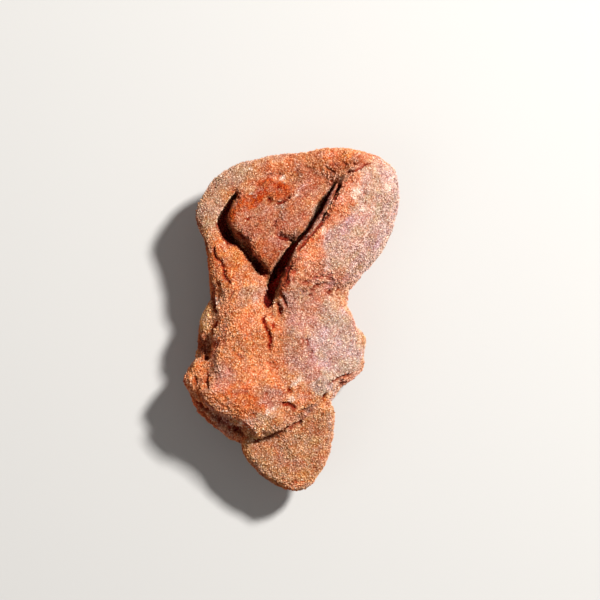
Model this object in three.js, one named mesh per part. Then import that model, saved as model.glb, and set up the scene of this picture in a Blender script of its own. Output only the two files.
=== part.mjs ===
// A sandy barite rose: rounded blades of barite that grew through each other in sand, fused in one piece.
// Millimetres, +Z up. The cluster lies on its back: +Y runs along its length, towards the cupped rosette,
// and +Z is the side with the cup. The origin is on the surface it rests on, under the middle of its box.

import * as THREE from 'three';
import { MarchingCubes } from 'three/addons/objects/MarchingCubes.js';
import { SimplifyModifier } from 'three/addons/modifiers/SimplifyModifier.js';
import { mergeVertices } from 'three/addons/utils/BufferGeometryUtils.js';

const {clamp, degToRad, lerp, smootherstep, smoothstep} = THREE.MathUtils;

// ---------------------------------------------------------------- driving dimensions

const HALF_BOX = new THREE.Vector3(24, 37, 19); // half sides of the block of space that is sampled
const BOX_MIDDLE = new THREE.Vector3(0, 0, 15);
const GRID = 96; // samples along each side of that block
const TRIANGLES = 9400; // what is kept of the surface
const COLOUR = 0xc98468; // sandy orange-pink
const REST_LEVEL = 2; // the underside is worn flat at this height
const OUTLINE_STEPS = 56; // straight steps in each outline
const REACH = 4; // a shape has no effect further away than this
const DOME_DEPTH = [1, 4]; // inside a rim, where the ridge-free distance takes over
const LIP_ROUND = 1.6; // rounding of a trimmed edge
const GAP_ROUND = 0.8; // rounding of the upper edges of a gap
const GAP_FLOOR_ROUND = 1.5; // rounding at the foot of its walls
const PETAL_RIM = 1.4; // width of a petal's rounded rim, in half thicknesses
const SWELLS = [{size: 5, height: 0.4}, {size: 2.3, height: 0.3}]; // unevenness of every surface

// ---------------------------------------------------------------- the pieces of the cluster

// Each leaf faces up, and is given by its outline as [x, y] points, the height of its middle, the rise
// of that middle per mm along x and y, how far it bows up at its rim, and on each face
// [thickness from the middle, width of the rounded rim]. `blend` is the fillet where it meets the rest.
const LEAVES = [
	{
		name: 'heart of the rosette',
		outline: [
			[-15, 21], [-11, 28], [2, 31], [14, 28], [17, 21], [13, 10], [3, 4], [-9, 6], [-14, 14],
		],
		middle: 10, slope: [0, 0], bow: 0,
		front: [4, 5], back: [6, 9], blend: 1,
	},
	{
		name: 'heart of the trunk',
		outline: [
			[-14, -4], [-12, 4], [-3, 9], [8, 7], [11, -1], [9, -10], [2, -16], [-8, -18],
			[-14, -13],
		],
		middle: 10, slope: [0, 0], bow: 0,
		front: [4, 5], back: [6, 9], blend: 2,
	},
	{
		name: 'saucer',
		outline: [
			[-19.3, 20.6], [-18.1, 23.8], [-17, 26], [-14.4, 28.7], [-10.3, 31], [-4.8, 32.4],
			[0.5, 33], [5.8, 33.5], [9.7, 33.9], [12.6, 33.8], [15.4, 32.6], [18, 31.3], [17, 24],
			[10, 13], [1, 6], [-8, 4], [-13.5, 5], [-16.2, 8.5], [-16.6, 12.2], [-17.8, 15.6],
			[-18.9, 18.2],
		],
		middle: 14.4, slope: [0.02, 0], bow: 2,
		front: [3, 2.4], back: [3, 3], blend: 1.2,
	},
	{
		name: 'bulge of the trunk',
		outline: [
			[-15.9, 3], [-13, 6.5], [-8, 8], [-2, 6], [3, 5.5], [5.6, 2], [6.4, -4], [6.6, -10],
			[6.2, -14.5], [3.6, -17.3], [0, -19.8], [-4, -22], [-7, -22.8], [-10, -20.8],
			[-14, -18.8], [-17.4, -16.6], [-18, -13], [-17.2, -9.5], [-16.5, -6], [-16.2, -1.5],
		],
		middle: 14, slope: [0.03, 0.02], bow: 0,
		front: [8.6, 4.2], back: [4.4, 4], blend: 1.4,
	},
	{
		name: 'swelling of the trunk',
		outline: [
			[-15.4, 0], [-12, 5], [-6, 6], [-1, 2], [1.5, -4], [-2, -9], [-8, -11], [-13, -9],
			[-15.4, -4],
		],
		middle: 14, slope: [0, 0], bow: 0,
		front: [10.4, 8], back: [2, 4], blend: 2.5,
	},
	{
		name: 'swelling of the brow',
		outline: [
			[-16, -14], [-10, -10], [-2, -10], [4, -12.5], [2, -17.5], [-3, -20.5], [-8, -20.8],
			[-13.5, -18.4],
		],
		middle: 13.6, slope: [0, 0], bow: 0,
		front: [9.8, 5], back: [2, 4], blend: 2.5,
	},
	{
		name: 'brow of the trunk',
		outline: [
			[-17.8, -12.6], [-12, -12], [-4, -10.5], [3, -9], [8, -11], [8.6, -14], [7.1, -16.3],
			[3.2, -19.4], [-0.3, -21.5], [-3.8, -23.5], [-6.7, -24.4], [-9.4, -22.3],
			[-13.3, -20.4], [-17, -17.7], [-19.2, -14.8],
		],
		middle: 13.6, slope: [0.05, -0.02], bow: 0,
		front: [9, 2], back: [3.6, 2.4], blend: 1.4,
	},
	{
		name: 'left shoulder of the trunk',
		outline: [
			[-16.4, 12.3], [-17.1, 15.3], [-14, 17], [-9.4, 15], [-5.6, 11], [-3.4, 8], [-3, 3],
			[0, -2], [-8, -5], [-15, -1], [-15.5, 3.2], [-16, 5.6], [-16.7, 8.8],
		],
		middle: 13.6, slope: [0.06, -0.06], bow: 0,
		front: [6.6, 3], back: [4, 3], blend: 1.6,
	},
	{
		name: 'upper left lobe',
		outline: [
			[-15.5, 3.1], [-17.4, 1.4], [-18.5, -1.7], [-18.5, -5.1], [-17.9, -7.2], [-14, -7],
			[-12, -2], [-13.5, 3],
		],
		middle: 12.5, slope: [0.1, 0.2], bow: 0,
		front: [5.4, 2], back: [4.4, 3], blend: 0.6,
	},
	{
		name: 'lower left lobe',
		outline: [
			[-18.3, -7.2], [-21, -10], [-21.9, -12.8], [-20.1, -15.1], [-18, -17], [-13, -17],
			[-10, -12], [-12.6, -6.4],
		],
		middle: 13, slope: [0.14, 0], bow: 0,
		front: [6, 2], back: [4, 3], blend: 1.4,
	},
	{
		name: 'ledge under the trunk',
		outline: [
			[-20, -14.8], [-19.2, -18.2], [-17.4, -20.3], [-15.2, -22.5], [-12, -25.1],
			[-9.8, -25.3], [-6, -24], [-4, -18], [-13, -13],
		],
		middle: 11, slope: [0, 0], bow: 0,
		front: [4, 1.6], back: [4, 3], blend: 0.5,
	},
	{
		name: 'right lobe',
		outline: [
			[9.9, 4.6], [10.5, 2.7], [12.1, 0.6], [13.4, -2], [14.5, -3.8], [14.7, -6], [14.3, -8.6],
			[12.8, -11], [11.2, -12.7], [9, -13.4], [6, -14], [2, -11], [0, -4], [3, 3], [6, 6],
		],
		middle: 16.8, slope: [-0.42, 0.06], bow: 0,
		front: [4, 2.4], back: [3.4, 2.4], blend: 1.4,
	},
	{
		name: 'leaf under the right lobe',
		outline: [
			[14.4, -8.6], [13.3, -11.2], [11.7, -13.1], [8.8, -13.9], [5, -15], [4, -10], [10, -6],
		],
		middle: 11, slope: [-0.1, 0], bow: 0,
		front: [3.2, 1.2], back: [4, 3], blend: 0.3,
	},
	{
		name: 'tongue',
		outline: [
			[7.9, -17.3], [8.4, -19.2], [8.1, -22.6], [7.6, -26.2], [6.8, -29.7], [5, -32.5],
			[2.8, -34.3], [0.4, -35], [-2.2, -34.1], [-5.3, -32.4], [-8, -30.1], [-10, -27.2],
			[-10.1, -24.4], [-8.5, -20], [-3, -15.5], [4, -15.8], [6.9, -16.6],
		],
		middle: 15.3, slope: [0.1, 0.33], bow: 0,
		front: [3.4, 1.7], back: [3.2, 2.4], blend: 0.5,
	},
	{
		name: 'inner block',
		outline: [
			[-12.9, 20.6], [-12.4, 22.4], [-11, 24], [-9.4, 25.4], [-7, 26.6], [-4, 27.6],
			[0, 27.6], [5, 28.2], [9, 27.8], [9.5, 26.5], [7.5, 22.5], [4.5, 18.5], [2, 15.5],
			[0, 13.5], [-2, 10.8], [-4.4, 8.7], [-5.7, 9.7], [-6.9, 11.4], [-7.8, 13], [-8.9, 14.8],
			[-10.4, 15.4], [-11.3, 16.6], [-12, 18.2],
		],
		middle: 14.6, slope: [0.02, -0.28], bow: 0,
		front: [6.8, 1.4], back: [6, 5], blend: 1.2,
	},
	{
		name: 'crust on the inner block',
		outline: [
			[-12.3, 20.4], [-11.4, 22.8], [-9.6, 24.8], [-7, 26.4], [-4, 27.8], [-1.4, 27.6],
			[0.2, 25.8], [-1, 24.2], [-3.4, 22.9], [-5, 23.6], [-6.4, 22.2], [-8.6, 21],
			[-9.6, 19.2], [-11.4, 18.8],
		],
		middle: 14.2, slope: [0, -0.2], bow: 0,
		front: [6.6, 1.1], back: [4, 3], blend: 0.5,
	},
	{
		name: 'round leaf on the inner block',
		outline: [
			[0.4, 25.2], [-1, 24.2], [-3.2, 22.8], [-3.4, 20], [-2.9, 17.8], [-2, 16.5], [0, 15.9],
			[2.2, 15], [5, 17], [8.5, 22], [10, 26.5], [5, 26.4],
		],
		middle: 14.6, slope: [0.08, -0.24], bow: 0,
		front: [7, 2.2], back: [6, 5], blend: 0.7,
	},
	{
		name: 'fold between saucer and petal',
		outline: [
			[5.6, 32.4], [9, 33.3], [13.4, 32.7], [16, 31], [15, 28.6], [12.4, 26.6], [9.5, 26.8],
			[6.8, 28], [5, 30],
		],
		middle: 17.6, slope: [0.42, 0], bow: 0,
		front: [3.4, 3], back: [4, 3], blend: 2.4,
	},
	{
		name: 'rolled petal',
		outline: [
			[9, 32], [14.2, 32.4], [17.7, 31.7], [20.3, 29.8], [21.5, 27.3], [21.8, 24.4],
			[21.1, 21.3], [20, 17.6], [18.7, 14.1], [16.4, 10.7], [13.6, 7.9], [11, 5.4], [6, 1.5],
			[0, 0], [-7, 3], [-8, 10], [-4, 18], [2, 27],
		],
		trim: [
			[12, 30], [10.8, 28.3], [9.4, 26.2], [7.5, 23], [6.7, 21], [5, 18.6], [3.2, 16.2],
			[1.6, 14.4], [0.4, 12.7], [-0.8, 10.6], [-1.7, 8.2], [-2.2, 6.2], [-2.8, 4], [-4, -4],
			[24, -4], [26, 36], [14, 36],
		],
		middle: 17.2, slope: [-0.32, 0.2], bow: 0,
		front: [9, 8], back: [5, 4], blend: 2.2,
	},
];

// Each petal is a round disc. It has a centre, the compass angle it points to and the degrees its outer
// edge is raised by, and its half length along that direction, half width and half thickness.
const PETALS = [
	{
		name: 'rosette, right', at: [8, 14.5, 7], points: -15, raised: 15,
		half: [8.6, 7.5, 2.6], blend: 0.7,
	},
	{
		name: 'rosette, upper right', at: [11.5, 23.5, 8.2], points: 30, raised: 20,
		half: [9, 8.2, 2.6], blend: 0.7,
	},
	{
		name: 'rosette, top', at: [-0.5, 26, 8.4], points: 104, raised: 27,
		half: [7.6, 9, 2.5], blend: 0.7,
	},
	{
		name: 'rosette, left', at: [-10, 20, 7.4], points: 175, raised: 13,
		half: [8.5, 8.5, 2.6], blend: 0.7,
	},
	{
		name: 'rosette, lower left', at: [-8.5, 12, 8.4], points: 210, raised: 24,
		half: [8, 7.5, 2.5], blend: 0.7,
	},
	{ name: 'waist', at: [2.5, 7.5, 7.5], points: -75, raised: 8, half: [8, 8.5, 2.6], blend: 0.7 },
	{
		name: 'rosette, under right', at: [7, 19.5, 4.2], points: 5, raised: 13,
		half: [7.5, 7.5, 2], blend: 0.6,
	},
	{
		name: 'rosette, under left', at: [-2.5, 23, 4.4], points: 135, raised: 15,
		half: [7, 7.5, 2], blend: 0.6,
	},
	{
		name: 'rosette, under waist', at: [-1, 14, 4], points: 250, raised: 10,
		half: [7, 7, 2], blend: 0.6,
	},
	{
		name: 'rosette, keel', at: [2.5, 20, 4], points: 25, raised: 78,
		half: [4.6, 7, 2.2], blend: 0.6,
	},
	{
		name: 'rosette, small keel', at: [6, 13, 5.4], points: 118, raised: 70,
		half: [4.4, 7, 2.2], blend: 0.6,
	},
	{
		name: 'trunk, right', at: [6.5, -6, 7.5], points: -8, raised: 18,
		half: [7.6, 8.5, 2.2], blend: 0.7,
	},
	{
		name: 'trunk, left', at: [-10, -1, 7.4], points: 150, raised: 14,
		half: [7.5, 8, 2.1], blend: 0.7,
	},
	{
		name: 'trunk, lower left', at: [-12, -9.5, 7], points: 208, raised: 14,
		half: [7.6, 8, 2.2], blend: 0.7,
	},
	{
		name: 'trunk, bottom', at: [-4.5, -15.5, 7.4], points: 262, raised: 12,
		half: [7.5, 8.5, 2.1], blend: 0.7,
	},
	{
		name: 'trunk, lower right', at: [3.4, -12, 6.6], points: -50, raised: 16,
		half: [6, 6, 2], blend: 0.7,
	},
	{
		name: 'trunk, under right', at: [1, -2.5, 4.2], points: 35, raised: 12,
		half: [6.8, 6.5, 2], blend: 0.6,
	},
	{
		name: 'trunk, under left', at: [-8, -5, 4.2], points: 172, raised: 15,
		half: [6.5, 6.8, 2], blend: 0.6,
	},
	{
		name: 'trunk, under tongue', at: [-2, -11, 4], points: 285, raised: 11,
		half: [6.8, 6.5, 2], blend: 0.6,
	},
	{
		name: 'trunk, keel', at: [-4, -7.5, 4], points: -38, raised: 76,
		half: [4.6, 7, 2.2], blend: 0.6,
	},
	{
		name: 'trunk, small keel', at: [-7.5, -2, 5.6], points: 62, raised: 70,
		half: [4.4, 7, 2.2], blend: 0.6,
	},
	{
		name: 'root of the tongue', at: [-0.5, -20, 9], points: 272, raised: 6,
		half: [8, 7, 2], blend: 0.6,
	},
];

// Small lumps, as a centre and a radius.
const LUMPS = [
	{ name: 'nub beside the tongue', at: [7, -15.1, 16.4], radius: 1.6, blend: 1 },
	{ name: 'nub at the waist', at: [9.9, 4.3, 15.5], radius: 1.3, blend: 0.8 },
	{ name: 'foot of the fold', at: [11.2, 28.8, 18], radius: 2.6, blend: 3 },
	{ name: 'knob on the brow', at: [-2.4, -19.7, 19.4], radius: 3.1, blend: 1.4 },
];

// Open gaps, each a path over the surface with [x, y, width] at its points and the height of its floor.
const GAPS = [
	{
		name: 'gap along the rolled petal', floor: 11.5,
		path: [
			[9.2, 27.3, 0.7], [8.2, 25.9, 0.9], [6.7, 23.4, 1.3], [5.8, 21.4, 1.3], [4.5, 19.2, 1],
			[2.8, 16.9, 0.8], [1, 15, 1.2], [-0.6, 13.2, 1.6], [-1.8, 11.2, 1.9], [-3, 9, 2.3],
			[-3.7, 6.8, 2.3], [-4, 4.8, 1.8],
		],
	},
	{
		name: 'gap left of the inner block', floor: 11.5,
		path: [
			[-10.8, 25.1, 0.8], [-12.2, 23.4, 1.2], [-13.4, 21.2, 1.6], [-13.9, 19.4, 2.4],
			[-13, 17.2, 2.4], [-12.2, 15.8, 1.8], [-10.7, 15, 0.9], [-9.3, 13.8, 0.9], [-8.2, 12, 0.8],
			[-6.7, 10.4, 0.8], [-5.3, 9.2, 0.7],
		],
	},
	{
		name: 'crack under the round leaf', floor: 19.5,
		path: [[-2.8, 17.4, 0.3], [-1.8, 16.4, 0.8], [0, 15.9, 0.8], [1.4, 15.3, 1]],
	},
	{
		name: 'notch beside the upper left lobe', floor: 15.4,
		path: [[-16.2, -4.8, 0.5], [-16.5, -6.8, 0.9], [-16.7, -8.6, 0.5]],
	},
];

// ---------------------------------------------------------------- distances in a plane

// The distance from [x, y] to the line from a to b, and the share of the way to b of its nearest point.
function segmentDistance([ax, ay], [bx, by], x, y) {
	const ex = bx - ax;
	const ey = by - ay;
	const share = clamp(((x - ax) * ex + (y - ay) * ey) / (ex * ex + ey * ey), 0, 1);
	return [Math.hypot(x - ax - ex * share, y - ay - ey * share), share];
}

// The corners of a smooth closed outline through a few points.
function closedOutline(points) {
	const knots = points.map(([x, y]) => new THREE.Vector3(x, y, 0));
	const steps = new THREE.CatmullRomCurve3(knots, true).getPoints(OUTLINE_STEPS).slice(0, -1);
	return steps.map(({x, y}) => [x, y]);
}

// Whether the line from a to b crosses the level line that runs from [x, y] towards +X.
function crosses([ax, ay], [bx, by], x, y) {
	return (ay > y) !== (by > y) && x < (bx - ax) * (y - ay) / (by - ay) + ax;
}

// How far [x, y] is outside a closed outline, or inside it if negative. Deep inside, a mean over all
// sides takes over from the nearest side, so that a dome over the outline has no ridges.
function outlineDistance(corners, x, y) {
	let nearest = Infinity;
	let crowding = 0;
	let inside = false;
	for (let i = 0, j = corners.length - 1; i < corners.length; j = i++) {
		const a = corners[i];
		const b = corners[j];
		const [distance] = segmentDistance(a, b, x, y);
		nearest = Math.min(nearest, distance);
		crowding += Math.hypot(b[0] - a[0], b[1] - a[1]) / Math.max(distance, 0.5) ** 4;
		if (crosses(a, b, x, y)) inside = !inside;
	}
	if (!inside) return nearest;
	const mean = (crowding * 2 / Math.PI) ** (-1 / 3);
	return -lerp(nearest, mean, smoothstep(nearest, ...DOME_DEPTH));
}

// ---------------------------------------------------------------- distances in space

// The smaller of two distances, with a fillet of that size where they are close.
function join(a, b, fillet) {
	const h = Math.max(fillet - Math.abs(a - b), 0) / fillet;
	return Math.min(a, b) - h * h * fillet / 4;
}

// The larger of two distances, with the edge between them rounded.
const cut = (a, b, round) => -join(-a, -b, round);

// The distance to a face that is flat, `high` above its middle, and rounds off over `wide` at its rim.
function faceDistance(toRim, up, high, wide) {
	const across = Math.max(toRim + wide, 0);
	const k0 = Math.hypot(across / wide, up / high);
	const k1 = Math.hypot(across / wide ** 2, up / high ** 2);
	return k1 < 1e-9 ? -Math.min(wide, high) : k0 * (k0 - 1) / k1;
}

// The distance to a leaf along the vertical line through [x, y], as a function of z.
function leafColumn(leaf, x, y) {
	const {box, centre, radius, corners, trim, slope} = leaf;
	const far = Math.max(box.min.x - x, x - box.max.x, box.min.y - y, y - box.max.y);
	if (far > REACH) return () => far;
	const toRim = outlineDistance(corners, x, y);
	const toTrim = trim ? outlineDistance(trim, x, y) : -Infinity;
	const dx = x - centre.x;
	const dy = y - centre.y;
	const bow = leaf.bow * Math.min((dx * dx + dy * dy) / radius ** 2, 1.2);
	const middle = leaf.middle + slope[0] * dx + slope[1] * dy + bow;
	return (z) => {
		const up = z - middle;
		const distance = faceDistance(toRim, up, ...(up > 0 ? leaf.front : leaf.back));
		return trim ? cut(distance, toTrim, LIP_ROUND) : distance;
	};
}

// The distance to a petal.
const inOwnFrame = new THREE.Vector3();
function petalDistance({at, half, toOwnFrame}, x, y, z) {
	const far = Math.hypot(x - at[0], y - at[1], z - at[2]) - Math.max(...half);
	if (far > REACH) return far;
	const p = inOwnFrame.set(x, y, z).applyMatrix4(toOwnFrame);
	const share = Math.hypot(p.x / half[0], p.y / half[1]);
	const toRim = share > 0 ? Math.hypot(p.x, p.y) * (1 - 1 / share) : -half[0];
	return faceDistance(toRim, p.z, half[2], PETAL_RIM * half[2]);
}

function lumpDistance({at, radius}, x, y, z) {
	return Math.hypot(x - at[0], y - at[1], z - at[2]) - radius;
}

// The distance to an open gap along the vertical line through [x, y], as a function of z.
function gapColumn({path, floor}, x, y) {
	let toWall = Infinity;
	for (let i = 1; i < path.length; i++) {
		const [distance, share] = segmentDistance(path[i - 1], path[i], x, y);
		toWall = Math.min(toWall, distance - lerp(path[i - 1][2], path[i][2], share) / 2);
	}
	return (z) => cut(toWall, floor - z, GAP_FLOOR_ROUND);
}

// ---------------------------------------------------------------- the uneven surface

// A repeatable random number from -1 to 1 for each corner of a unit grid.
function hash(i, j, k) {
	let h = Math.imul(i, 374761393) ^ Math.imul(j, 668265263) ^ Math.imul(k, 2147483647);
	h = Math.imul(h ^ (h >>> 13), 1274126177);
	return ((h ^ (h >>> 16)) >>> 0) / 2147483648 - 1;
}

// Smooth noise from -1 to 1 with features about one unit across.
function noise(x, y, z) {
	const [i, j, k] = [x, y, z].map(Math.floor);
	const [u, v, w] = [x - i, y - j, z - k].map((t) => smootherstep(t, 0, 1));
	const row = (b, c) => lerp(hash(i, j + b, k + c), hash(i + 1, j + b, k + c), u);
	return lerp(lerp(row(0, 0), row(1, 0), v), lerp(row(0, 1), row(1, 1), v), w);
}

function unevenness(x, y, z) {
	let sum = 0;
	for (const {size, height} of SWELLS) sum += height * noise(x / size, y / size, z / size);
	return sum;
}

// ---------------------------------------------------------------- the cluster

for (const leaf of LEAVES) {
	leaf.corners = closedOutline(leaf.outline);
	leaf.box = new THREE.Box2().setFromPoints(leaf.corners.map((corner) => new THREE.Vector2(...corner)));
	leaf.centre = leaf.box.getCenter(new THREE.Vector2());
	leaf.radius = leaf.box.getSize(new THREE.Vector2()).length() / 2.8;
}

for (const petal of PETALS) {
	const place = new THREE.Object3D();
	place.position.set(...petal.at);
	place.rotation.set(0, -degToRad(petal.raised), degToRad(petal.points), 'ZYX');
	place.updateMatrix();
	petal.toOwnFrame = place.matrix.clone().invert();
}

// The distance to the cluster's surface along the vertical line through [x, y], as a function of z.
function clusterColumn(x, y) {
	const leaves = LEAVES.map((leaf) => leafColumn(leaf, x, y));
	const gaps = GAPS.map((gap) => gapColumn(gap, x, y));
	return (z) => {
		let d = REACH;
		leaves.forEach((distance, i) => d = join(d, distance(z), LEAVES[i].blend));
		for (const petal of PETALS) d = join(d, petalDistance(petal, x, y, z), petal.blend);
		for (const lump of LUMPS) d = join(d, lumpDistance(lump, x, y, z), lump.blend);
		if (Math.abs(d) < REACH) d += unevenness(x, y, z);
		for (const distance of gaps) d = cut(d, -distance(z), GAP_ROUND);
		return Math.max(d, REST_LEVEL - z);
	};
}

// The surface where the distance is zero, as a closed mesh.
function sampledSurface() {
	const cubes = new MarchingCubes(GRID, new THREE.MeshBasicMaterial(), false, false, 150000);
	const sample = (axis, i) => BOX_MIDDLE[axis] + HALF_BOX[axis] * (2 * i / GRID - 1);
	for (let j = 0; j < GRID; j++) {
		for (let i = 0; i < GRID; i++) {
			const distance = clusterColumn(sample('x', i), sample('y', j));
			for (let k = 0; k < GRID; k++) {
				cubes.field[(k * GRID + j) * GRID + i] = -distance(sample('z', k));
			}
		}
	}
	cubes.isolation = 0;
	cubes.update();
	const positions = cubes.positionArray.slice(0, cubes.count * 3);
	const surface = new THREE.BufferGeometry();
	surface.setAttribute('position', new THREE.BufferAttribute(positions, 3));
	surface.scale(...HALF_BOX).translate(...BOX_MIDDLE);
	return mergeVertices(surface, 1e-3);
}

async function clusterGeometry() {
	const surface = sampledSurface();
	const spare = surface.attributes.position.count - TRIANGLES / 2;
	const geometry = await new SimplifyModifier().modify(surface, spare);
	geometry.computeBoundingBox();
	const middle = geometry.boundingBox.getCenter(new THREE.Vector3());
	geometry.translate(-middle.x, -middle.y, -geometry.boundingBox.min.z);
	geometry.computeVertexNormals();
	return geometry;
}

const sandyBarite = new THREE.MeshStandardMaterial({color: COLOUR, roughness: 0.95, metalness: 0});
const rose = new THREE.Mesh(await clusterGeometry(), sandyBarite);
rose.name = 'barite_rose';

const cluster = new THREE.Group();
cluster.add(rose);
export default cluster;
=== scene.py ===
import itertools
import math

import bpy
import numpy as np
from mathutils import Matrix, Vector


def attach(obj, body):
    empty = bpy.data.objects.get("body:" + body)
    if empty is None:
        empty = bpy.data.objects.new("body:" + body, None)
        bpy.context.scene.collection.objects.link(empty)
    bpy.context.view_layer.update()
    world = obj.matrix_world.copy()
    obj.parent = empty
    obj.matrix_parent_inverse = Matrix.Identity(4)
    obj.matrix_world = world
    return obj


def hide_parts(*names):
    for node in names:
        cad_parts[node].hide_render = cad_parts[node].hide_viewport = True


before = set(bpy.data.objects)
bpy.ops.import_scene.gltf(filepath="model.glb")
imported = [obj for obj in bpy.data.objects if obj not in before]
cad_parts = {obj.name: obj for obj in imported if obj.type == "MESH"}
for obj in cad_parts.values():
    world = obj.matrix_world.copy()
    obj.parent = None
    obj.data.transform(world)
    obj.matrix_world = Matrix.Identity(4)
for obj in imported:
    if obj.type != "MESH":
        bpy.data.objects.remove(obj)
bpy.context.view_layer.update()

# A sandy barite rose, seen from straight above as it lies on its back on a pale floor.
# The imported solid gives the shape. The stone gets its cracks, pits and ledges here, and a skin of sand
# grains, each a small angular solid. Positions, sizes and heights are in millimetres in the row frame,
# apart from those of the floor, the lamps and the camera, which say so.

MM = 0.001
NODE = "barite_rose"

# ---------------------------------------------------------------- sizes

VOXEL = 0.33  # size of the faces of the stone
SMOOTHING_STEPS = 11  # enough to smooth away the flat facets of the solid
STONE_INSET = 0.08  # the stone stays this far inside the solid, to leave room for the grains
SAND_PIECES = 5
FIRST_SEED = 1000  # of the first piece of sand
GRAINS_PER_PIECE = 19500
GRAIN_SIZE = (0.128, 0.038)  # middle value and spread of a grain's half length
FLOOR_CLEARANCE = 0.55  # no grain is set on stone that is closer to the floor than this

# ---------------------------------------------------------------- colours, linear

PALE_PINK = (0.56, 0.365, 0.29)
PALE_GREY = (0.52, 0.36, 0.31)
PINK_ORANGE = (0.66, 0.28, 0.155)
VALLEY_PINK = (0.525, 0.278, 0.205)
SALMON = (0.66, 0.3, 0.22)
BROW_PINK = (0.56, 0.27, 0.186)
MAUVE_PINK = (0.555, 0.35, 0.305)
MAUVE = (0.475, 0.192, 0.108)
TAN = (0.575, 0.3, 0.15)
GREY_TAN = (0.51, 0.311, 0.203)
OCHRE = (0.66, 0.25, 0.088)
YELLOW = (0.85, 0.5, 0.23)
ORANGE = (0.705, 0.289, 0.126)
DEEP_ORANGE = (0.71, 0.24, 0.083)
CLAY = (0.6, 0.235, 0.105)
RUST = (0.49, 0.08, 0.008)
BROWN = (0.42, 0.125, 0.05)
# a tan darkened by painted shade
PAINTED_SHADE_TAN = (0.47, 0.25, 0.17)
WHITE = (0.78, 0.62, 0.52)
# painted shade, for the walls of the gaps and for dark grooves
PAINTED_SHADE_RED = (0.26, 0.026, 0.009)
# painted shade: a strong red for the bottom of the large gap, which lies in shade
GAP_SHADE_RED = (0.85, 0.045, 0.02)

MARKS_LEVEL = -0.45  # patches, stripes and chips reach down the sides to normals with this z

# Painted shade: the stone is a deeper red on the sides that face away from this direction, which is the
# key lamp's. The range is of the cosine between the two, from no painted shade to all of it.
PAINTED_SHADE_AWAY_FROM = np.array((0.47, 0.4, 0.79))
PAINTED_SHADE_RANGE = (-0.15, 0.4)
PAINTED_SHADE_POWER = 0.55  # added to the power that a colour in painted shade is raised to
PAINTED_SHADE_GAIN = 0.12  # a colour in painted shade is made this much brighter again
HOLLOW_PAINTED_SHADE = (0.45, 0.87, 0.935)  # painted shade: share of red, green and blue that is lost deep in a crack

# Patches of colour: x, y, half width, half length, turn in degrees, colour.
PATCHES = [
    (-9, 24, 12, 12, 0, TAN),
    (-16.5, 22, 3.5, 5, 10, GREY_TAN),
    (-12, 28.6, 6, 2.4, 32, GREY_TAN),
    (2, 31, 9, 2.6, 5, CLAY),
    (9.5, 31.8, 7, 3, -4, CLAY),
    (9, 32.6, 4, 1.4, -4, DEEP_ORANGE),
    (-3.5, 18.5, 9.5, 9.5, 0, MAUVE),
    (3.5, 26.5, 6, 3.2, 10, MAUVE),
    (-5.2, 12.2, 2.4, 4.4, 30, BROWN),
    (-8.6, 23.6, 4, 2.4, 30, RUST),
    (-3.4, 26, 3.5, 2.3, 0, RUST),
    (-11.4, 20.6, 1.5, 2, 20, RUST),
    (14, 19, 9, 16, -28, PALE_PINK),
    (19.5, 24, 3, 8, -5, PALE_GREY),
    (17.4, 14.8, 1, 5, -33, PALE_GREY),
    (14.4, 12.8, 1.6, 4, -40, MAUVE_PINK),
    (18.8, 24.4, 1.6, 4, 5, MAUVE_PINK),
    (10, 18.4, 2.2, 3.4, -30, MAUVE_PINK),
    (11, 24.5, 2.2, 5, -25, PINK_ORANGE),
    (6.3, 18.5, 2.0, 6.5, -37, PINK_ORANGE),
    (3.2, 10.8, 3.4, 6, -25, PINK_ORANGE),
    (8, 7.4, 4.6, 2.6, 10, BROW_PINK),
    (-13, 10.5, 4.6, 7.5, 0, OCHRE),
    (-9.8, 9, 3, 4, 30, OCHRE),
    (-8, 4.8, 3.4, 2.2, 20, PAINTED_SHADE_TAN),
    (-9, -6, 10, 11, 0, ORANGE),
    (-13.6, -12, 3, 3.4, 0, BROW_PINK),
    (-10, -15.8, 6.6, 3.4, -8, DEEP_ORANGE),
    (-3.4, -15.2, 3.4, 2.6, 0, BROW_PINK),
    (-6, -20.4, 2.4, 1.6, -10, GREY_TAN),
    (-1.8, -19.8, 3.4, 1.8, 14, SALMON),
    (3, -4, 4.4, 11, 8, VALLEY_PINK),
    (2.4, 3.4, 4.6, 3, 0, VALLEY_PINK),
    (9.4, -5, 5.6, 8.4, 10, PALE_GREY),
    (6.8, -12.6, 2.6, 3, 0, PALE_GREY),
    (12.6, -11.6, 3.2, 1.3, 30, BROW_PINK),
    (-18.6, -12, 2.6, 4.4, 0, OCHRE),
    (-17.3, 0.6, 1.5, 3, 0, YELLOW),
    # Partly painted shade: the brown on the lower part of the upper left lobe.
    (-17.4, -4.6, 1.6, 2.6, 0, BROWN),
    (0, -26.5, 10.5, 10, 0, TAN),
    (8.2, -22.5, 1.2, 5, 5, GREY_TAN),
    (1.6, -33.2, 4, 1.2, 15, OCHRE),
    (-6.4, -23.2, 1, 0.9, 0, YELLOW),
]
PATCH_EDGE = (0.65, 1.15)  # a patch fades between these shares of its half sizes

# The thin ridge along the right side of the large gap, from its second point on.
RIDGE = [
    (8.7, 26.4), (8.35, 25.4), (7.6, 23.6), (6.95, 22.2), (5.95, 20.6), (5.05, 19), (4.05, 17.4),
    (2.85, 16), (1.6, 14.8), (0.6, 13.4),
]

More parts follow.
